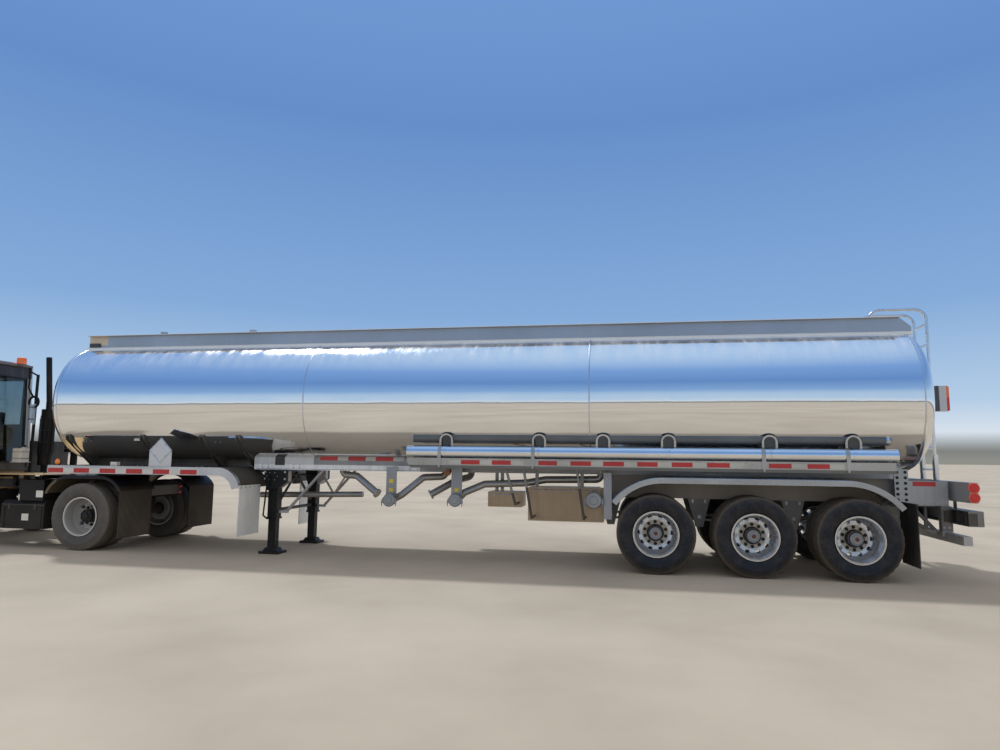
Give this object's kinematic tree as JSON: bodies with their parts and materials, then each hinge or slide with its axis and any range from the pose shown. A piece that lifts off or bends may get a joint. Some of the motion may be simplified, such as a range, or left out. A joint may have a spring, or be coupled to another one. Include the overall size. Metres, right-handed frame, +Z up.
{
  "type": "articulated tanker truck",
  "caption": "Fuel tank semi-trailer with polished barrel on twin wheels and lowered legs, coupled at its kingpin to a single-cab yard tractor.",
  "frame": {"origin": "on the ground, at the middle of the overall length and width", "axes": "+X to the rear, +Y to the vehicle's right, +Z up; the tractor's front faces -X"},
  "size_m": [16.899, 2.54, 3.66],
  "materials": {
    "polished_aluminium": "polished",
    "aluminium": "satin",
    "dark_steel": "matte",
    "grey_metal": "satin",
    "rubber": "matte",
    "lamp_plastic": "gloss",
    "grey_paint": "satin",
    "tan_paint": "satin",
    "black_plastic": "matte",
    "black_paint": "satin",
    "glass": "clear",
    "tyre": "matte",
    "wheel_grey": "satin"
  },
  "bodies": {
    "trailer": {"tank_shell": "polished_aluminium", "overturn_rails": "aluminium", "manhole_necks": "aluminium", "rear_ladder": "aluminium", "frame_rails": "dark_steel", "coupler": "dark_steel", "front_fenders": "aluminium", "rear_fenders": "polished_aluminium", "mudflaps": "rubber", "landing_legs": "dark_steel", "hose_tubes_lower": "polished_aluminium", "hose_tubes_upper": "grey_metal", "side_rails": "aluminium", "outlet_pipes": "aluminium", "outlet_adapters": "grey_metal", "cabinets": "polished_aluminium", "running_gear": "dark_steel", "rear_bumpers": "dark_steel", "lamps": "lamp_plastic", "placards": "grey_paint"},
    "tractor": {"tractor_frame": "tan_paint", "fifth_wheel": "dark_steel", "cab_shell": "tan_paint", "cab_glass": "glass", "cab_interior": "black_plastic", "hood": "tan_paint", "engine": "dark_steel", "tractor_fenders": "black_paint", "side_tanks": "black_paint", "exhaust": "black_paint", "air_rack": "black_paint", "front_axle": "dark_steel", "tractor_rear_axle": "dark_steel"},
    "lid_front": {"manhole_lid_front": "aluminium"},
    "lid_middle": {"manhole_lid_middle": "aluminium"},
    "lid_rear": {"manhole_lid_rear": "aluminium"},
    "twin_1_left": {"wheels_1_left": "polished_aluminium", "tyres_1_left": "tyre"},
    "twin_1_right": {"wheels_1_right": "polished_aluminium", "tyres_1_right": "tyre"},
    "twin_2_left": {"wheels_2_left": "polished_aluminium", "tyres_2_left": "tyre"},
    "twin_2_right": {"wheels_2_right": "polished_aluminium", "tyres_2_right": "tyre"},
    "twin_3_left": {"wheels_3_left": "polished_aluminium", "tyres_3_left": "tyre"},
    "twin_3_right": {"wheels_3_right": "polished_aluminium", "tyres_3_right": "tyre"},
    "drive_left": {"drive_wheels_left": "wheel_grey", "drive_tyres_left": "tyre"},
    "drive_right": {"drive_wheels_right": "wheel_grey", "drive_tyres_right": "tyre"},
    "steering_left": {"knuckle_left": "dark_steel"},
    "front_left": {"front_wheel_left": "wheel_grey", "front_tyre_left": "tyre"},
    "steering_right": {"knuckle_right": "dark_steel"},
    "front_right": {"front_wheel_right": "wheel_grey", "front_tyre_right": "tyre"},
    "cab_door": {"cab_door": "tan_paint", "door_glass": "glass"}
  },
  "joints": [
    {"name": "kingpin_turn", "type": "hinge", "parent": "trailer", "child": "tractor", "pos_m": [-4.3995, 0, 1.2], "axis": [0, 0, 1], "range_deg": [-80, 80]},
    {"name": "lid_front_open", "type": "hinge", "parent": "trailer", "child": "lid_front", "pos_m": [-3.2945, 0, 3.439], "axis": [0, -1, 0], "range_deg": [0, 110]},
    {"name": "lid_middle_open", "type": "hinge", "parent": "trailer", "child": "lid_middle", "pos_m": [1.3055, 0, 3.439], "axis": [0, -1, 0], "range_deg": [0, 110]},
    {"name": "lid_rear_open", "type": "hinge", "parent": "trailer", "child": "lid_rear", "pos_m": [5.5555, 0, 3.439], "axis": [0, -1, 0], "range_deg": [0, 110]},
    {"name": "twin_1_left_roll", "type": "hinge", "parent": "trailer", "child": "twin_1_left", "pos_m": [4.4535, -1.13, 0.515], "axis": [0, 1, 0], "continuous": true},
    {"name": "twin_1_right_roll", "type": "hinge", "parent": "trailer", "child": "twin_1_right", "pos_m": [4.4535, 1.13, 0.515], "axis": [0, 1, 0], "continuous": true},
    {"name": "twin_2_left_roll", "type": "hinge", "parent": "trailer", "child": "twin_2_left", "pos_m": [5.6965, -1.13, 0.515], "axis": [0, 1, 0], "continuous": true},
    {"name": "twin_2_right_roll", "type": "hinge", "parent": "trailer", "child": "twin_2_right", "pos_m": [5.6965, 1.13, 0.515], "axis": [0, 1, 0], "continuous": true},
    {"name": "twin_3_left_roll", "type": "hinge", "parent": "trailer", "child": "twin_3_left", "pos_m": [6.9395, -1.13, 0.515], "axis": [0, 1, 0], "continuous": true},
    {"name": "twin_3_right_roll", "type": "hinge", "parent": "trailer", "child": "twin_3_right", "pos_m": [6.9395, 1.13, 0.515], "axis": [0, 1, 0], "continuous": true},
    {"name": "drive_left_roll", "type": "hinge", "parent": "tractor", "child": "drive_left", "pos_m": [-4.2495, -1.08, 0.515], "axis": [0, 1, 0], "continuous": true},
    {"name": "drive_right_roll", "type": "hinge", "parent": "tractor", "child": "drive_right", "pos_m": [-4.2495, 1.08, 0.515], "axis": [0, 1, 0], "continuous": true},
    {"name": "steering_left_turn", "type": "hinge", "parent": "tractor", "child": "steering_left", "pos_m": [-7.1995, -0.83, 0.515], "axis": [0, 0, 1], "range_deg": [-35, 35]},
    {"name": "front_left_roll", "type": "hinge", "parent": "steering_left", "child": "front_left", "pos_m": [-7.1995, -1.02, 0.515], "axis": [0, 1, 0], "continuous": true},
    {"name": "steering_right_turn", "type": "hinge", "parent": "tractor", "child": "steering_right", "pos_m": [-7.1995, 0.83, 0.515], "axis": [0, 0, 1], "range_deg": [-35, 35]},
    {"name": "front_right_roll", "type": "hinge", "parent": "steering_right", "child": "front_right", "pos_m": [-7.1995, 1.02, 0.515], "axis": [0, 1, 0], "continuous": true},
    {"name": "cab_door_open", "type": "hinge", "parent": "tractor", "child": "cab_door", "pos_m": [-7.3365, -1.114, 2], "axis": [0, 0, -1], "range_deg": [0, 75]}
  ],
  "couplings": [
    {"joint": "steering_right_turn", "follows": "steering_left_turn", "ratio": 1}
  ]
}
